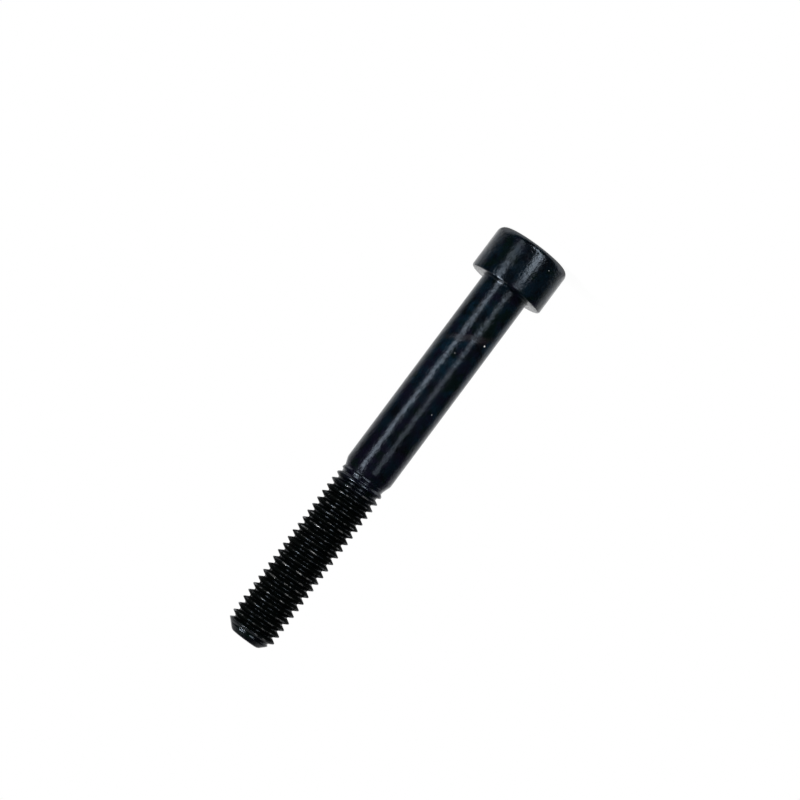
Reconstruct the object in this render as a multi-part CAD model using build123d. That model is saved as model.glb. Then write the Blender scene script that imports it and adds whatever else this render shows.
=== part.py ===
from build123d import *
import math
import os

# Driving sizes, in millimetres. The screw stands on its head, with the bearing face at height 0.
LENGTH = 66.7  # from the bearing face to the tip
THREAD_DIAMETER = 8.0  # over the crests
PITCH = 1.25
THREAD_LENGTH = 28.0  # full thread, measured from the tip
RUN_OUT_TURNS = 2.0  # turns over which the thread fades to nothing
SHANK_DIAMETER = 8.0
SHANK_LENGTH = 35.0  # plain part, from the bearing face to the neck
NECK_DIAMETER = 7.2
HEAD_DIAMETER = 12.75
HEAD_HEIGHT = 7.7
HEAD_TOP_ROUND = 1.1
HEAD_RIM_ROUND = 0.35  # round the bearing face
UNDER_HEAD_FILLET = 0.4
SOCKET_WIDTH = 6.0  # across the flats
SOCKET_DEPTH = 4.3
SOCKET_MOUTH_DIAMETER = 7.1  # countersunk at 45 degrees
SOCKET_BOTTOM_ANGLE = 120.0  # included angle of the drilled bottom
TIP_FACE_DIAMETER = 4.6
TIP_ROUND = 0.25

# Sizes that follow from the driving ones.
CREST_RADIUS = THREAD_DIAMETER / 2
NECK_RADIUS = NECK_DIAMETER / 2
SHANK_RADIUS = SHANK_DIAMETER / 2
HEAD_RADIUS = HEAD_DIAMETER / 2
SOCKET_RADIUS = SOCKET_WIDTH / 2
MOUTH_RADIUS = SOCKET_MOUTH_DIAMETER / 2
TIP_FACE_RADIUS = TIP_FACE_DIAMETER / 2
TIP_CHAMFER = CREST_RADIUS - TIP_FACE_RADIUS  # cut at 45 degrees
THREAD_FOOT = LENGTH - THREAD_LENGTH
RUN_OUT_FOOT = THREAD_FOOT - RUN_OUT_TURNS * PITCH
HEAD_TOP = -HEAD_HEIGHT  # the screw stands on this face
SOCKET_FLOOR = HEAD_TOP + SOCKET_DEPTH

ON_ITS_BASE = (Align.CENTER, Align.CENTER, Align.MIN)


def turned_body():
    """Head, plain shank, waisted neck and the cylinder over the thread's crests, turned in one."""
    profile = [
        (0, HEAD_TOP),
        (HEAD_RADIUS, HEAD_TOP),
        (HEAD_RADIUS, 0),
        (SHANK_RADIUS, 0),
        (SHANK_RADIUS, SHANK_LENGTH),
        (NECK_RADIUS, RUN_OUT_FOOT),
        (CREST_RADIUS, THREAD_FOOT),
        (CREST_RADIUS, LENGTH - TIP_CHAMFER),
        (TIP_FACE_RADIUS, LENGTH),
        (0, LENGTH),
    ]
    outline = Polyline(*[(radius, 0, z) for radius, z in profile], close=True)
    return revolve(make_face(outline), axis=Axis.Z)


def round_edge(body, radius, z, size):
    """The body with its circular edge of this radius, at this height, rounded."""
    circles = body.edges().filter_by(GeomType.CIRCLE)
    same_height = [edge for edge in circles if abs(edge.center().Z - z) < 0.001]
    return fillet([edge for edge in same_height if abs(edge.radius - radius) < 0.001], size)


def rounded_body():
    """The turned body with the four edges that the real one has rounded."""
    body = turned_body()
    body = round_edge(body, HEAD_RADIUS, HEAD_TOP, HEAD_TOP_ROUND)
    body = round_edge(body, HEAD_RADIUS, 0, HEAD_RIM_ROUND)
    body = round_edge(body, SHANK_RADIUS, 0, UNDER_HEAD_FILLET)
    return round_edge(body, TIP_FACE_RADIUS, LENGTH, TIP_ROUND)


def cone_up_from(radius, z, included_angle):
    """A cone with its wide end down at this height."""
    height = radius / math.tan(math.radians(included_angle / 2))
    return Pos(0, 0, z) * Cone(radius, 0, height, align=ON_ITS_BASE)


def socket():
    """Hexagonal socket with a countersunk mouth and a drilled bottom."""
    hexagon = RegularPolygon(SOCKET_RADIUS, side_count=6, major_radius=False)
    hole = Pos(0, 0, HEAD_TOP) * extrude(hexagon, SOCKET_DEPTH)
    bottom = cone_up_from(SOCKET_RADIUS, SOCKET_FLOOR, SOCKET_BOTTOM_ANGLE)
    mouth = cone_up_from(MOUTH_RADIUS, HEAD_TOP, 90)
    return hole + bottom + mouth


screw = rounded_body() - socket()
screw.label = "cap_screw"
os.makedirs("parts", exist_ok=True)
export_step(screw, "parts/cap_screw.step")
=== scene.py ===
import math

import bmesh
import bpy
from bpy.props import FloatProperty, FloatVectorProperty, IntProperty, PointerProperty
from mathutils import Matrix, Vector


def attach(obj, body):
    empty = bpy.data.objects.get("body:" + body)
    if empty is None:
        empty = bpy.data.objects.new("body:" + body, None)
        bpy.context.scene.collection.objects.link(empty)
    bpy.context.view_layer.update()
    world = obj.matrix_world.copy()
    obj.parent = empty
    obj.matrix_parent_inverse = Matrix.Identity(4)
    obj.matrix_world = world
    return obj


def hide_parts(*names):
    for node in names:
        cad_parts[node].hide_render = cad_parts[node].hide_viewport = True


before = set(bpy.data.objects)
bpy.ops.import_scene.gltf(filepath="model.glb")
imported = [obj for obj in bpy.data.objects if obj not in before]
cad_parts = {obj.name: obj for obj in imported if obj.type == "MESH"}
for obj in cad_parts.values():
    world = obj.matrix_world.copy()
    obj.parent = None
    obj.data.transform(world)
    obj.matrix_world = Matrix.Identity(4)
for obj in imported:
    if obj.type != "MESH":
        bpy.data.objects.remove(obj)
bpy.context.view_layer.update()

bl_info = {
    "name": "Socket head cap screw",
    "version": (1, 0, 0),
    "blender": (4, 5, 0),
    "location": "3D View > Sidebar > Screw",
    "description": "Makes a black socket head cap screw with a rolled thread, and its studio",
    "category": "Add Mesh",
}

MM = 0.001
FULL_TURN = 2 * math.pi
RIGHT_ANGLE = math.pi / 2
SIXTH_TURN = math.pi / 3
UP = Vector((0, 0, 1))

# The blank and its socket
SHOULDER_ROUND = 1.2 * MM  # where the shank turns into the neck
SEAM = 0.92  # how far down the neck's slope the turned blank meets the thread
DRILL_SHARE = 0.985  # radius of the drilled bottom, next to half the width across the flats
DRILL_SLOPE = math.radians(30)
WALL_RINGS = (0.35, 0.7, 1.0)  # rings down the socket's walls, as shares of its depth
DRILL_RINGS = (0.66, 0.33)  # rings in the drilled bottom, as shares of its radius

# The thread
FLANK_ANGLE = math.radians(30)  # between a flank and the plane across the axis
PROFILE_TURN = math.radians(120)  # turn of the sharp profile at each crest and root
LEAST_FLANK = 0.2 * MM  # an edge of the profile that spans more radius than this is a flank
CREST_FADE = 0.62  # share of the crests' fall that is even, where the thread runs out
LATE_FADE_POWER = 6  # how late the rest of that fall comes
ROOT_FADE_POWER = 1.4  # how late the roots rise there
TIP_ROUND_BULGE = 0.2  # share of the round that stands out past a straight cut at the tip's edge

# Distances for joining and cutting meshes
WELD = 0.002 * MM
CUT = 0.0005 * MM
SLIVER = 0.0002 * MM
SAME_HEIGHT = 0.01 * MM

# Heights, in millimetres, between which the thread's dull look sets in and ends
DULL_FROM = (37.2, 40.5)
DULL_TO = (64.5, 65.2)
# Radii, in millimetres, between which the crests set in and the roots end
CREST_FROM = (3.98, 4.04)
ROOT_TO = (3.35, 3.45)

RELIEF = 0.00011  # depth of the finish's fine relief, in metres

# The brown smear: height on the axis, in metres, rise across the shank, and sharpness per metre
SMEAR_HEIGHT = 0.00985
SMEAR_RISE = 0.588
SMEAR_SHARPNESS = 430
SMEAR_STRENGTH = 0.38
# Centre and radius of each dust speck, in millimetres
SPECKS = (
    (-2.66, -3.07, 9.3, 0.17),
    (-2.44, -3.24, 22.5, 0.07),
    (-3.57, -5.28, -5.6, 0.06),
    (0.40, -4.03, 12.9, 0.05),
)

# Name, azimuth from the camera's side and elevation in degrees, width and height in metres,
# and glow of each strip lamp
STRIPS = (
    ("left_over", 58, 61, 0.06, 0.15, 440),
    ("left_high", 38, 16, 0.12, 0.34, 37),
    ("left_low", 42, -17, 0.12, 0.26, 10),
    ("right_high", -24, 10, 0.12, 0.26, 8.5),
    ("right_low", -23.5, -21, 0.12, 0.26, 45),
    ("under", -6, -40, 0.12, 0.18, 60),
)
LAMP_DISTANCE = 0.5  # from the point that the lamps face
LAMP_AIM = 0.02  # height of that point

FLOOR_HALF_WIDTH = 1.5
FLOOR_GAP = 0.02 * MM  # keeps the floor clear of the head's face
FLOOR_FADE = (6, 18)  # millimetres from the axis over which the floor turns white to the camera

# What the gloss mirrors: a white wall behind the screw and a white table below it. Stops of how
# far behind a direction points, from 0 for the camera's side to 1, and of how far up or down.
WALL_BEHIND = ((0.60, 0.0), (0.75, 0.55), (0.85, 0.8), (1.0, 1.0))
WALL_ABOVE = ((0.14, 1.0), (0.38, 0.35))
TABLE_BEHIND = ((0.50, 0.0), (0.53, 1.0), (0.66, 1.0), (0.81, 0.6), (0.92, 0.3), (1.0, 0.12))
TABLE_EDGE = (0.20, 0.30)

CAMERA_PLACE = Vector((3.455, -359.178, 45.126)) * MM
CAMERA_AZIMUTH = math.radians(0.107)
CAMERA_TILT = math.radians(90 - 3.467)
CAMERA_ROLL = math.radians(-143.256)
SENSOR_WIDTH = 36
CLIP_START, CLIP_END = 0.01, 10


def length(name, description, millimetres):
    """A length property, in metres inside Blender."""
    return FloatProperty(
        name=name, description=description, default=millimetres * MM, min=0, unit="LENGTH", precision=5,
    )


def colour(name, description, value):
    """A colour property."""
    return FloatVectorProperty(
        name=name, description=description, default=value, subtype="COLOR", size=3, min=0, max=1,
    )


def share(name, description, value):
    """A property from 0 to 1."""
    return FloatProperty(name=name, description=description, default=value, min=0, max=1, subtype="FACTOR")


class ScrewSizes(bpy.types.PropertyGroup):
    """The screw's sizes. Heights are measured from the bearing face."""

    length: length("Length", "From the bearing face to the tip", 66.65)
    head_diameter: length("Head diameter", "Across the cylindrical head", 12.75)
    head_height: length("Head height", "From the bearing face to the head's top", 7.7)
    head_round: length("Head round", "Radius of the head's top edge", 1.1)
    rim_round: length("Rim round", "Radius of the edge round the bearing face", 0.35)
    shank_diameter: length("Shank diameter", "Across the plain shank", 8.1)
    shank_length: length("Shank length", "Plain part, from the bearing face to the neck", 35.0)
    fillet: length("Fillet", "Radius between the shank and the bearing face", 0.4)
    neck_diameter: length("Neck diameter", "Waist between the shank and the thread", 7.2)
    thread_diameter: length("Thread diameter", "Over the crests", 8.14)
    crest_round: length("Crest round", "Radius of the thread's crests", 0.12)
    root_round: length("Root round", "Radius of the thread's roots", 0.20)
    thread_length: length("Thread length", "Full thread, measured from the tip", 27.95)
    pitch: length("Pitch", "From one crest to the next", 1.25)
    run_out: length("Run-out", "Height over which the thread fades into the neck", 2.5)
    crest_height: length("Crest height", "Height of one crest on the +X side", 39.03)
    tip_diameter: length("Tip diameter", "Flat face of the tip", 4.9)
    tip_round: length("Tip round", "Radius of the tip face's edge", 0.15)
    socket_width: length("Socket width", "Across the flats", 6.0)
    socket_depth: length("Socket depth", "From the head's top to the end of the flats", 4.3)
    socket_mouth: length("Socket mouth", "Diameter of the countersink", 7.1)
    around: IntProperty(
        name="Sides", description="Steps round a full turn, a multiple of 12", default=120, min=24, step=12,
    )


class ScrewFinish(bpy.types.PropertyGroup):
    """The black oxide finish."""

    black: colour("Black", "Colour of the oxide", (0.0005, 0.0007, 0.0013))
    blue: colour("Blue cast", "Bluish patches of the oxide", (0.0008, 0.0055, 0.0105))
    violet: colour("Violet cast", "Violet patches of the oxide", (0.0018, 0.0013, 0.0046))
    green: colour("Green cast", "Dark green patches of the oxide", (0.0004, 0.0022, 0.0014))
    thread_black: colour("Thread", "Dull black of the thread's flanks", (0.0003, 0.0008, 0.0006))
    stain: colour("Stain", "Faint brown smear across the shank", (0.0130, 0.0090, 0.0080))
    bare: colour("Rubbed metal", "Where the oxide is rubbed thin on the crests", (0.24, 0.24, 0.24))
    dust: colour("Dust", "Colour of the dust specks", (0.62, 0.62, 0.60))
    shine: colour("Shine", "Tint of what the oiled oxide mirrors", (0.71, 0.84, 1.0))
    sheen: share("Sheen", "How smooth the oiled oxide is", 0.82)


class StudioSettings(bpy.types.PropertyGroup):
    """Floor, surround, lamps and camera."""

    floor: colour("Floor", "Colour of the floor", (0.90, 0.90, 0.90))
    whiteness: share("Whiteness", "How white the floor looks next to the screw", 0.94)
    strips: FloatProperty(name="Strips", description="How bright the strip lamps are", default=1.0, min=0)
    fill: share("Fill", "Light from all round, which shows the colours", 0.62)
    front: share("Front", "Grey that the gloss mirrors from the camera's side", 0.01)
    lens: FloatProperty(name="Lens", description="Focal length", default=105.715, min=1, unit="CAMERA")


# Geometry


def smooth_all(bm):
    """Shades every face smooth."""
    for face in bm.faces:
        face.smooth = True


def object_from(bm, name, material):
    """Writes the mesh and links it as an object at the origin."""
    mesh = bpy.data.meshes.new(name)
    bm.to_mesh(mesh)
    bm.free()
    piece = bpy.data.objects.new(name, mesh)
    bpy.context.scene.collection.objects.link(piece)
    mesh.materials.append(material)
    return piece


def polyline(bm, points):
    """A chain of edges through points given as radius and height, on the plane of +X and +Z."""
    verts = [bm.verts.new((radius, 0, z)) for radius, z in points]
    for first, second in zip(verts, verts[1:]):
        bm.edges.new((first, second))
    return verts


def round_corner(bm, vert, radius, turn, segments):
    """Rounds the corner of a chain, whose direction turns there by this angle."""
    offset = radius * math.tan(turn / 2)
    bmesh.ops.bevel(
        bm, geom=[vert], offset=offset, offset_type="OFFSET", affect="VERTICES",
        segments=segments, profile=0.5, material=-1, clamp_overlap=False,
    )


def spin_once(bm, steps, rise=0.0):
    """Spins all that is there through one turn about the screw's axis, rising by so much in all."""
    bmesh.ops.spin(
        bm, geom=list(bm.verts) + list(bm.edges), cent=(0, 0, 0), axis=UP, dvec=(0, 0, rise / steps),
        angle=FULL_TURN, steps=steps, use_merge=rise == 0, use_duplicate=False,
    )


def boundary_at(bm, z):
    """The open edges whose two ends lie at this height."""
    return [
        edge for edge in bm.edges
        if edge.is_boundary and all(abs(vert.co.z - z) < SAME_HEIGHT for vert in edge.verts)
    ]


def turned_blank(bm, s):
    """Head, rim, bearing face, fillet, shank and the slope into the neck."""
    head, shank, neck = s.head_diameter / 2, s.shank_diameter / 2, s.neck_diameter / 2
    slope_end = s.length - s.thread_length - s.run_out
    slope_height = slope_end - s.shank_length
    slope = math.atan2(shank - neck, slope_height)
    chain = polyline(bm, [
        (s.socket_mouth / 2, -s.head_height),
        (head, -s.head_height),
        (head, 0),
        (shank, 0),
        (shank, s.shank_length),
        (shank + (neck - shank) * SEAM, s.shank_length + slope_height * SEAM),
    ])
    round_corner(bm, chain[1], s.head_round, RIGHT_ANGLE, segments=8)
    round_corner(bm, chain[2], s.rim_round, RIGHT_ANGLE, segments=5)
    round_corner(bm, chain[3], s.fillet, RIGHT_ANGLE, segments=6)
    round_corner(bm, chain[4], SHOULDER_ROUND, slope, segments=4)
    spin_once(bm, s.around)


def hexagon_radius(angle, apothem):
    """Distance from the centre to a hexagon's side, with corners on the X axis."""
    return apothem / math.cos((angle % SIXTH_TURN) - SIXTH_TURN / 2)


def extruded_verts(bm, edges):
    """Extrudes a ring of edges in place and gives its new vertices and edges."""
    made = bmesh.ops.extrude_edge_only(bm, edges=edges)["geom"]
    verts = [item for item in made if isinstance(item, bmesh.types.BMVert)]
    return verts, [item for item in made if isinstance(item, bmesh.types.BMEdge)]


def pull_ring(bm, edges, radius_of, height_of):
    """Extrudes a ring, with the new one's radius given for an angle and its height for a radius."""
    verts, ring = extruded_verts(bm, edges)
    for vert in verts:
        angle = math.atan2(vert.co.y, vert.co.x)
        radius = radius_of(angle)
        vert.co = (radius * math.cos(angle), radius * math.sin(angle), height_of(radius))
    return ring


def close_ring(bm, edges, z):
    """Draws a ring of edges together to one point on the axis."""
    verts, _ = extruded_verts(bm, edges)
    bmesh.ops.pointmerge(bm, verts=verts, merge_co=(0, 0, z))


def cut_socket(bm, s):
    """Countersink, hexagonal walls and drilled bottom, drawn out of the hole in the head's top."""
    top = -s.head_height
    flat = s.socket_width / 2
    mouth = s.socket_mouth / 2
    floor = top + s.socket_depth
    drill = flat * DRILL_SHARE
    bottom = drill * math.tan(DRILL_SLOPE)

    def hexagon(angle):
        return hexagon_radius(angle, flat)

    def down_the_wall(part):
        return lambda radius: top + (mouth - radius) * (1 - part) + s.socket_depth * part

    def drilled(radius):
        return floor + bottom * (1 - radius / drill)

    ring = boundary_at(bm, top)
    ring = pull_ring(bm, ring, hexagon, down_the_wall(0))
    for part in WALL_RINGS:
        ring = pull_ring(bm, ring, hexagon, down_the_wall(part))
    ring = pull_ring(bm, ring, lambda angle: drill, drilled)
    for part in DRILL_RINGS:
        ring = pull_ring(bm, ring, lambda angle, radius=drill * part: radius, drilled)
    close_ring(bm, ring, floor + bottom)


def wind_on(bm, turns, pitch):
    """Repeats the first turn of the helix until there are so many."""
    first = list(bm.verts) + list(bm.edges) + list(bm.faces)
    for turn in range(1, turns):
        copied = bmesh.ops.duplicate(bm, geom=first)["geom"]
        verts = [item for item in copied if isinstance(item, bmesh.types.BMVert)]
        bmesh.ops.translate(bm, verts=verts, vec=(0, 0, turn * pitch))


def sharp_height(s):
    """Height of the thread's profile before its crests and roots are rounded."""
    return s.pitch / 2 / math.tan(FLANK_ANGLE)


def thread_envelope(z, s):
    """Lowest and highest radius that the rolled thread reaches at a height."""
    crest, neck = s.thread_diameter / 2, s.neck_diameter / 2
    root = crest + s.crest_round + s.root_round - sharp_height(s)
    fade = min(max((s.length - s.thread_length - z) / s.run_out, 0), 1)
    fall = CREST_FADE * fade + (1 - CREST_FADE) * fade ** LATE_FADE_POWER
    highest = crest - (crest - neck) * fall
    lowest = root + (neck - root) * fade ** ROOT_FADE_POWER
    from_end = s.length - z
    chamfer = s.tip_diameter / 2 + from_end
    if from_end < s.tip_round:
        over = s.tip_round - from_end
        arc = s.tip_round - math.sqrt(max(s.tip_round ** 2 - over ** 2, 0))
        chamfer -= over - arc * TIP_ROUND_BULGE
    return min(lowest, chamfer), min(highest, chamfer)


def one_pitch(bm, s, start):
    """One pitch of the thread's profile, upwards from this height, starting half-way along a flank."""
    peak = s.thread_diameter / 2 + s.crest_round
    valley = peak - sharp_height(s)
    middle = (peak + valley) / 2
    chain = polyline(bm, [
        (middle, start),
        (valley, start + s.pitch * 0.25),
        (peak, start + s.pitch * 0.75),
        (middle, start + s.pitch),
    ])
    round_corner(bm, chain[1], s.root_round, PROFILE_TURN, segments=6)
    round_corner(bm, chain[2], s.crest_round, PROFILE_TURN, segments=6)
    flanks = [edge for edge in bm.edges if abs(edge.verts[0].co.x - edge.verts[1].co.x) > LEAST_FLANK]
    bmesh.ops.subdivide_edges(bm, edges=flanks, cuts=1)


def rolled_thread(bm, s):
    """The helical thread, spun from one pitch of its profile, then held within the envelope."""
    neck_end = s.length - s.thread_length - s.run_out
    start = s.crest_height - s.pitch * 0.75
    start -= math.ceil((start + s.pitch - neck_end) / s.pitch) * s.pitch
    one_pitch(bm, s, start)
    spin_once(bm, s.around, s.pitch)
    wind_on(bm, math.ceil((s.length + s.pitch - start) / s.pitch), s.pitch)
    bmesh.ops.remove_doubles(bm, verts=bm.verts, dist=WELD)
    for z, outwards in ((neck_end, -UP), (s.length, UP)):
        geometry = list(bm.verts) + list(bm.edges) + list(bm.faces)
        bmesh.ops.bisect_plane(
            bm, geom=geometry, dist=CUT, plane_co=(0, 0, z), plane_no=outwards, clear_outer=True,
        )
    for vert in bm.verts:
        low, high = thread_envelope(vert.co.z, s)
        radius = math.hypot(vert.co.x, vert.co.y)
        factor = min(max(radius, low), high) / radius
        vert.co.x *= factor
        vert.co.y *= factor


def close_tip(bm, s):
    """The flat face of the tip, with one ring half-way in."""
    ring = boundary_at(bm, s.length)
    ring = pull_ring(bm, ring, lambda angle: s.tip_diameter / 4, lambda radius: s.length)
    close_ring(bm, ring, s.length)


def screw_mesh(s):
    """The whole screw as one closed mesh."""
    bm = bmesh.new()
    rolled_thread(bm, s)
    close_tip(bm, s)
    blank = bmesh.new()
    turned_blank(blank, s)
    cut_socket(blank, s)
    spare = bpy.data.meshes.new("blank")
    blank.to_mesh(spare)
    blank.free()
    bm.from_mesh(spare)
    bpy.data.meshes.remove(spare)
    bmesh.ops.bridge_loops(bm, edges=[edge for edge in bm.edges if edge.is_boundary])
    bmesh.ops.dissolve_degenerate(bm, dist=SLIVER, edges=bm.edges)
    bmesh.ops.recalc_face_normals(bm, faces=bm.faces)
    open_edges = [edge for edge in bm.edges if not edge.is_manifold]
    if open_edges:
        raise RuntimeError("the screw's mesh is open at %d edges" % len(open_edges))
    smooth_all(bm)
    return bm


# Materials


class Value:
    """A socket, with maths written as plain expressions."""

    def __init__(self, shader, socket):
        self.shader = shader
        self.socket = socket

    def _math(self, operation, first, second):
        return self.shader.node("ShaderNodeMath", {"operation": operation}, {0: first, 1: second})

    def __add__(self, other):
        return self._math("ADD", self, other)

    def __radd__(self, other):
        return self._math("ADD", other, self)

    def __sub__(self, other):
        return self._math("SUBTRACT", self, other)

    def __rsub__(self, other):
        return self._math("SUBTRACT", other, self)

    def __mul__(self, other):
        return self._math("MULTIPLY", self, other)

    def __rmul__(self, other):
        return self._math("MULTIPLY", other, self)


class Shader:
    """A material's or a world's node tree."""

    def __init__(self, owner, output):
        owner.use_nodes = True
        self.tree = owner.node_tree
        self.tree.nodes.clear()
        self.output = self.tree.nodes.new(output)

    def node(self, kind, settings=None, values=None, output=0):
        """Adds a node: its settings first, then the values or links of its sockets."""
        made = self.tree.nodes.new(kind)
        for name, value in (settings or {}).items():
            if name == "stops":
                self._stops(made.color_ramp, value)
            else:
                setattr(made, name, value)
        for name, value in (values or {}).items():
            self._set(made.inputs[name], value)
        return Value(self, made.outputs[output])

    def _set(self, socket, value):
        if isinstance(value, Value):
            self.tree.links.new(value.socket, socket)
        else:
            socket.default_value = value

    @staticmethod
    def _stops(ramp, stops):
        while len(ramp.elements) < len(stops):
            ramp.elements.new(1.0)
        for element, (position, grey) in zip(ramp.elements, stops):
            element.position = position
            element.color = (grey, grey, grey, 1)

    def surface(self, shader):
        """Links a shader to the output."""
        self.tree.links.new(shader.socket, self.output.inputs["Surface"])

    def place(self):
        """The point on the piece, in its own coordinates."""
        return self.node("ShaderNodeTexCoord", output="Object")

    def axis(self, vector, name):
        """One coordinate of a vector."""
        return self.node("ShaderNodeSeparateXYZ", None, {"Vector": vector}, output=name)

    def length_of(self, vector):
        """The length of a vector."""
        return self.node("ShaderNodeVectorMath", {"operation": "LENGTH"}, {0: vector}, output="Value")

    def noise(self, scale, detail=3.0, roughness=0.6, stretch=(1, 1, 1), shift=(0, 0, 0)):
        """Noise from 0 to 1, with its scale in patches per metre."""
        mapped = self.node(
            "ShaderNodeMapping", None, {"Vector": self.place(), "Location": shift, "Scale": stretch},
        )
        return self.node(
            "ShaderNodeTexNoise", {"noise_dimensions": "3D"},
            {"Vector": mapped, "Scale": scale, "Detail": detail, "Roughness": roughness},
        )

    def ramp(self, value, *stops):
        """Greys between stops, each given as position and grey."""
        return self.node("ShaderNodeValToRGB", {"stops": stops}, {"Fac": value})

    def ramp_mm(self, value, reach, *stops):
        """Greys over a length, with the stops in millimetres up to this reach."""
        return self.ramp(value * (1 / (reach * MM)), *((place / reach, grey) for place, grey in stops))

    def mix(self, factor, first, second):
        """A colour between two others."""
        return self.node("ShaderNodeMix", {"data_type": "RGBA"}, {0: factor, 6: first, 7: second}, output=2)


def opaque(rgb):
    """A colour with full alpha."""
    return (*rgb, 1.0)


def oxide_colour(shader, finish, height, plain):
    """Near black with blue, violet and green patches, bluer on the shank's upper part."""
    blue = shader.ramp(shader.noise(420, detail=4), (0.38, 0.0), (0.60, 1.0))
    blue = blue * shader.ramp_mm(height, 100, (0, 0.55), (4, 1.0), (15, 1.0), (32, 0.35))
    violet = shader.noise(380, shift=(0.3, 0.1, 0.7)) + height * 4
    violet = shader.ramp(violet, (0.54, 0.0), (0.68, 1.0))
    green = shader.ramp(shader.noise(440, shift=(0.8, 0.5, 0.2)), (0.52, 0.0), (0.62, 1.0))
    body = shader.mix(blue * plain, opaque(finish.black), opaque(finish.blue))
    body = shader.mix(violet * plain * 0.8, body, opaque(finish.violet))
    return shader.mix(green * 0.8, body, opaque(finish.green))


def smear_mask(shader, across, deep, height):
    """A slanted band across the front of the shank."""
    slant = (height - SMEAR_HEIGHT - across * SMEAR_RISE) * SMEAR_SHARPNESS
    slant = slant + (shader.noise(450) - 0.5) * 0.9
    band = shader.ramp(slant + 0.5, (0.15, 0.0), (0.40, 1.0), (0.60, 1.0), (0.85, 0.0))
    return band * shader.ramp_mm(deep * -1, 10, (2.2, 0.0), (3.6, 1.0))


def dust_mask(shader, grain):
    """The dust specks, with ragged edges."""
    dust = 0
    for x, y, z, radius in SPECKS:
        centre = Vector((x, y, z)) * MM
        gap = shader.node(
            "ShaderNodeVectorMath", {"operation": "DISTANCE"}, {0: shader.place(), 1: centre}, output="Value",
        )
        edge = gap * (0.5 / radius / MM) + (grain - 0.5) * 0.6
        dust = shader.ramp(edge, (0.25, 1.0), (0.50, 0.0)) + dust
    return dust


def dull_mask(shader, thread, crest, root):
    """Where the thread is dull: all of it but some glints on the crests and sparks in the roots."""
    glints = shader.noise(950, detail=2, roughness=0.5, shift=(0.6, 0.2, 0.1))
    glints = shader.ramp(glints, (0.45, 0.0), (0.60, 1.0))
    sparks = shader.ramp(shader.noise(1600), (0.46, 0.0), (0.58, 1.0))
    return thread * (0.985 - sparks * 0.05 - 0.9 * crest * glints - 0.8 * root * sparks)


def black_oxide(finish):
    """Oiled black oxide on steel, rubbed thin on the crests and dull on the thread's flanks."""
    material = bpy.data.materials.new("black_oxide")
    shader = Shader(material, "ShaderNodeOutputMaterial")
    across, deep, height = (shader.axis(shader.place(), name) for name in "XYZ")
    flat = shader.node("ShaderNodeVectorMath", {"operation": "MULTIPLY"}, {0: shader.place(), 1: (1, 1, 0)})
    radius = shader.length_of(flat)

    thread = shader.ramp_mm(
        height, 100, (DULL_FROM[0], 0.0), (DULL_FROM[1], 1.0), (DULL_TO[0], 1.0), (DULL_TO[1], 0.0),
    )
    plain = shader.ramp_mm(height, 100, (DULL_FROM[0], 1.0), (DULL_FROM[1], 0.0))
    crest = shader.ramp_mm(radius, 10, (CREST_FROM[0], 0.0), (CREST_FROM[1], 1.0)) * thread
    root = shader.ramp_mm(radius, 10, (ROOT_TO[0], 1.0), (ROOT_TO[1], 0.0))
    grain = shader.noise(2300, detail=4)
    pits = shader.noise(800, shift=(0.2, 0.9, 0.4))
    smear = smear_mask(shader, across, deep, height)
    worn = shader.ramp(shader.noise(800, stretch=(1, 1, 2.5)), (0.52, 0.0), (0.64, 1.0)) * crest
    dust = dust_mask(shader, grain)

    body = oxide_colour(shader, finish, height, plain)
    body = shader.mix(smear * SMEAR_STRENGTH, body, opaque(finish.stain))
    body = shader.mix(worn, body, opaque(finish.bare))
    body = shader.mix(dust, body, opaque(finish.dust))
    roughness = (1 - finish.sheen) + (grain - 0.5) * 0.18 + (pits - 0.5) * 0.14
    roughness = roughness + smear * 0.12 + dust * 0.4 + thread * 0.04
    relief = (grain * 0.3 + pits * 0.7) * (1 - thread * 0.7)
    bump = shader.node("ShaderNodeBump", None, {"Strength": 1.0, "Distance": RELIEF, "Height": relief})
    oiled = shader.node("ShaderNodeBsdfPrincipled", None, {
        "Base Color": body, "Roughness": roughness, "Metallic": worn, "Normal": bump,
        "Specular IOR Level": 0.5, "Specular Tint": opaque(finish.shine),
    })
    matt = shader.node("ShaderNodeBsdfPrincipled", None, {
        "Base Color": opaque(finish.thread_black), "Roughness": 0.6, "Specular IOR Level": 0.03,
    })
    dull = dull_mask(shader, thread, crest, root)
    shader.surface(shader.node("ShaderNodeMixShader", None, {0: dull, 1: oiled, 2: matt}))
    return material


def floor_paint(settings):
    """Pale floor with the shadow by the screw. Further out it fades to plain white for the camera."""
    material = bpy.data.materials.new("floor")
    shader = Shader(material, "ShaderNodeOutputMaterial")
    paint = shader.node("ShaderNodeBsdfPrincipled", None, {
        "Base Color": opaque(settings.floor), "Roughness": 0.9, "Specular IOR Level": 0.0,
    })
    white = shader.node("ShaderNodeEmission", None, {"Color": (1, 1, 1, 1), "Strength": 1.0})
    away = shader.length_of(shader.place())
    fade = shader.ramp_mm(away, 100, (FLOOR_FADE[0], settings.whiteness), (FLOOR_FADE[1], 1.0))
    seen = shader.node("ShaderNodeLightPath", output="Is Camera Ray")
    shader.surface(shader.node("ShaderNodeMixShader", None, {0: fade * seen, 1: paint, 2: white}))
    return material


# Operators


class SCREW_OT_body(bpy.types.Operator):
    """Makes the screw and lets it stand for the CAD node"""

    bl_idname = "screw.body"
    bl_label = "Screw"

    def execute(self, context):
        scene = context.scene
        piece = object_from(screw_mesh(scene.screw_sizes), "screw", black_oxide(scene.screw_finish))
        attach(piece, "root")
        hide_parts("cap_screw")
        return {"FINISHED"}


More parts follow.
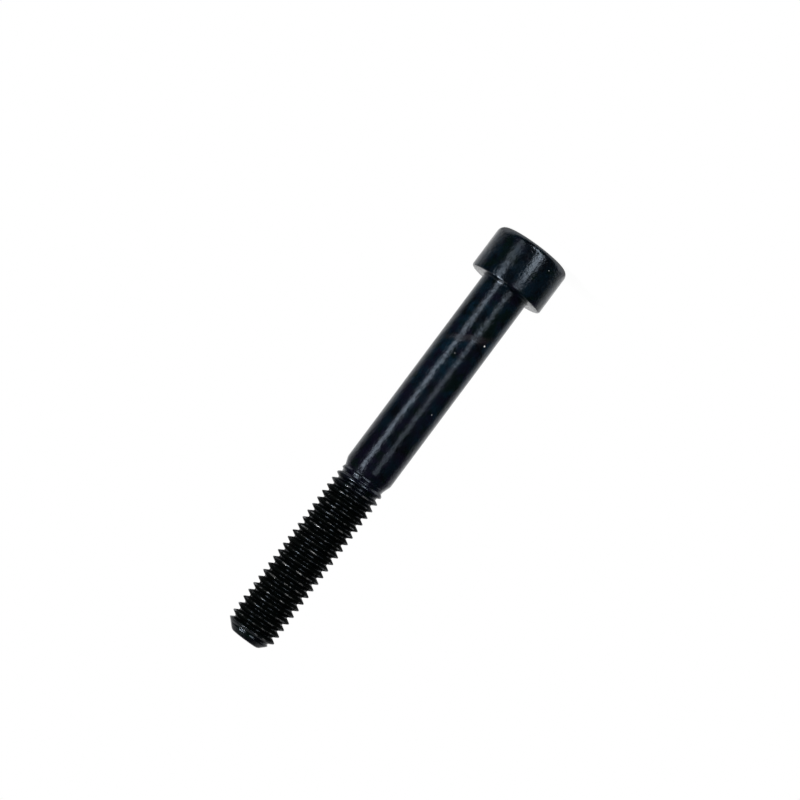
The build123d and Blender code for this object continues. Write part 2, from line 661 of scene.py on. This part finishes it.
def plain_floor(settings, height):
    """A wide level square under the head."""
    bm = bmesh.new()
    bmesh.ops.create_grid(bm, x_segments=1, y_segments=1, size=FLOOR_HALF_WIDTH)
    bmesh.ops.translate(bm, verts=bm.verts, vec=(0, 0, height))
    floor = object_from(bm, "floor", floor_paint(settings))
    floor.visible_glossy = False
    floor.visible_shadow = False


def surround(settings):
    """White to the camera, plain light for the colour, and for the gloss white behind and below only."""
    world = bpy.data.worlds.new("surround")
    bpy.context.scene.world = world
    shader = Shader(world, "ShaderNodeOutputWorld")
    direction = shader.node("ShaderNodeTexCoord", output="Generated")
    behind = shader.axis(direction, "Y") * 0.5 + 0.5
    above = shader.axis(direction, "Z")
    below = -1 * above
    wall = shader.ramp(behind, *WALL_BEHIND) * shader.ramp(above, *WALL_ABOVE)
    wall = wall * shader.ramp(below, (TABLE_EDGE[0], 1.0), (TABLE_EDGE[1], 0.0))
    table = shader.ramp(behind, *TABLE_BEHIND)
    table = table * shader.ramp(below, (TABLE_EDGE[0], 0.0), (TABLE_EDGE[1], 1.0))
    white = shader.node("ShaderNodeMath", {"operation": "MAXIMUM"}, {0: wall, 1: table})
    gloss = white * (1 - settings.front) + settings.front
    glossy = shader.node("ShaderNodeLightPath", output="Is Glossy Ray")
    seen = shader.node("ShaderNodeLightPath", output="Is Camera Ray")
    light = glossy * gloss + (1 - glossy) * (seen + (1 - seen) * settings.fill)
    shader.surface(shader.node("ShaderNodeBackground", None, {"Color": (1, 1, 1, 1), "Strength": light}))


def strip_lamp(name, azimuth, elevation, width, tall, glow):
    """A strip lamp that faces the screw. Its azimuth is from the camera's side towards +X."""
    data = bpy.data.lights.new(name, "AREA")
    data.shape = "RECTANGLE"
    data.size, data.size_y = width, tall
    data.energy = glow * width * tall * LAMP_DISTANCE
    swing = Matrix.Rotation(math.radians(azimuth), 4, "Z")
    lean = Matrix.Rotation(math.radians(90 - elevation), 4, "X")
    lamp = bpy.data.objects.new(name, data)
    aim = Matrix.Translation(UP * LAMP_AIM)
    lamp.matrix_world = aim @ (swing @ lean) @ Matrix.Translation(UP * LAMP_DISTANCE)
    bpy.context.scene.collection.objects.link(lamp)


def camera(settings):
    """The photograph's view: from beside the screw, rolled so that the head is at the upper right."""
    data = bpy.data.cameras.new("camera")
    data.lens = settings.lens
    data.sensor_width = SENSOR_WIDTH
    data.clip_start, data.clip_end = CLIP_START, CLIP_END
    look = Matrix.Rotation(CAMERA_AZIMUTH, 4, "Z") @ Matrix.Rotation(CAMERA_TILT, 4, "X")
    roll = Matrix.Rotation(CAMERA_ROLL, 4, "Z")
    view = bpy.data.objects.new("camera", data)
    view.matrix_world = Matrix.Translation(CAMERA_PLACE) @ look @ roll
    bpy.context.scene.collection.objects.link(view)
    bpy.context.scene.camera = view


class SCREW_OT_studio(bpy.types.Operator):
    """Makes the floor, the surround, the lamps and the camera"""

    bl_idname = "screw.studio"
    bl_label = "Studio"

    def execute(self, context):
        settings = context.scene.screw_studio
        context.scene.view_settings.view_transform = "Standard"
        plain_floor(settings, -context.scene.screw_sizes.head_height - FLOOR_GAP)
        surround(settings)
        for name, azimuth, elevation, width, tall, glow in STRIPS:
            strip_lamp(name, azimuth, elevation, width, tall, glow * settings.strips)
        camera(settings)
        return {"FINISHED"}


class SCREW_PT_panel(bpy.types.Panel):
    """Lists what the add-on makes"""

    bl_idname = "SCREW_PT_panel"
    bl_label = "Socket head cap screw"
    bl_space_type = "VIEW_3D"
    bl_region_type = "UI"
    bl_category = "Screw"

    def draw(self, context):
        scene = context.scene
        for group in (scene.screw_sizes, scene.screw_finish, scene.screw_studio):
            box = self.layout.box()
            for name in group.bl_rna.properties.keys():
                if name not in ("rna_type", "name"):
                    box.prop(group, name)
        self.layout.operator(SCREW_OT_body.bl_idname)
        self.layout.operator(SCREW_OT_studio.bl_idname)


CLASSES = (ScrewSizes, ScrewFinish, StudioSettings, SCREW_OT_body, SCREW_OT_studio, SCREW_PT_panel)


def register():
    for cls in CLASSES:
        bpy.utils.register_class(cls)
    bpy.types.Scene.screw_sizes = PointerProperty(type=ScrewSizes)
    bpy.types.Scene.screw_finish = PointerProperty(type=ScrewFinish)
    bpy.types.Scene.screw_studio = PointerProperty(type=StudioSettings)


def unregister():
    del bpy.types.Scene.screw_sizes
    del bpy.types.Scene.screw_finish
    del bpy.types.Scene.screw_studio
    for cls in reversed(CLASSES):
        bpy.utils.unregister_class(cls)


def main():
    register()
    bpy.ops.screw.body()
    bpy.ops.screw.studio()


if __name__ == "__main__":
    main()
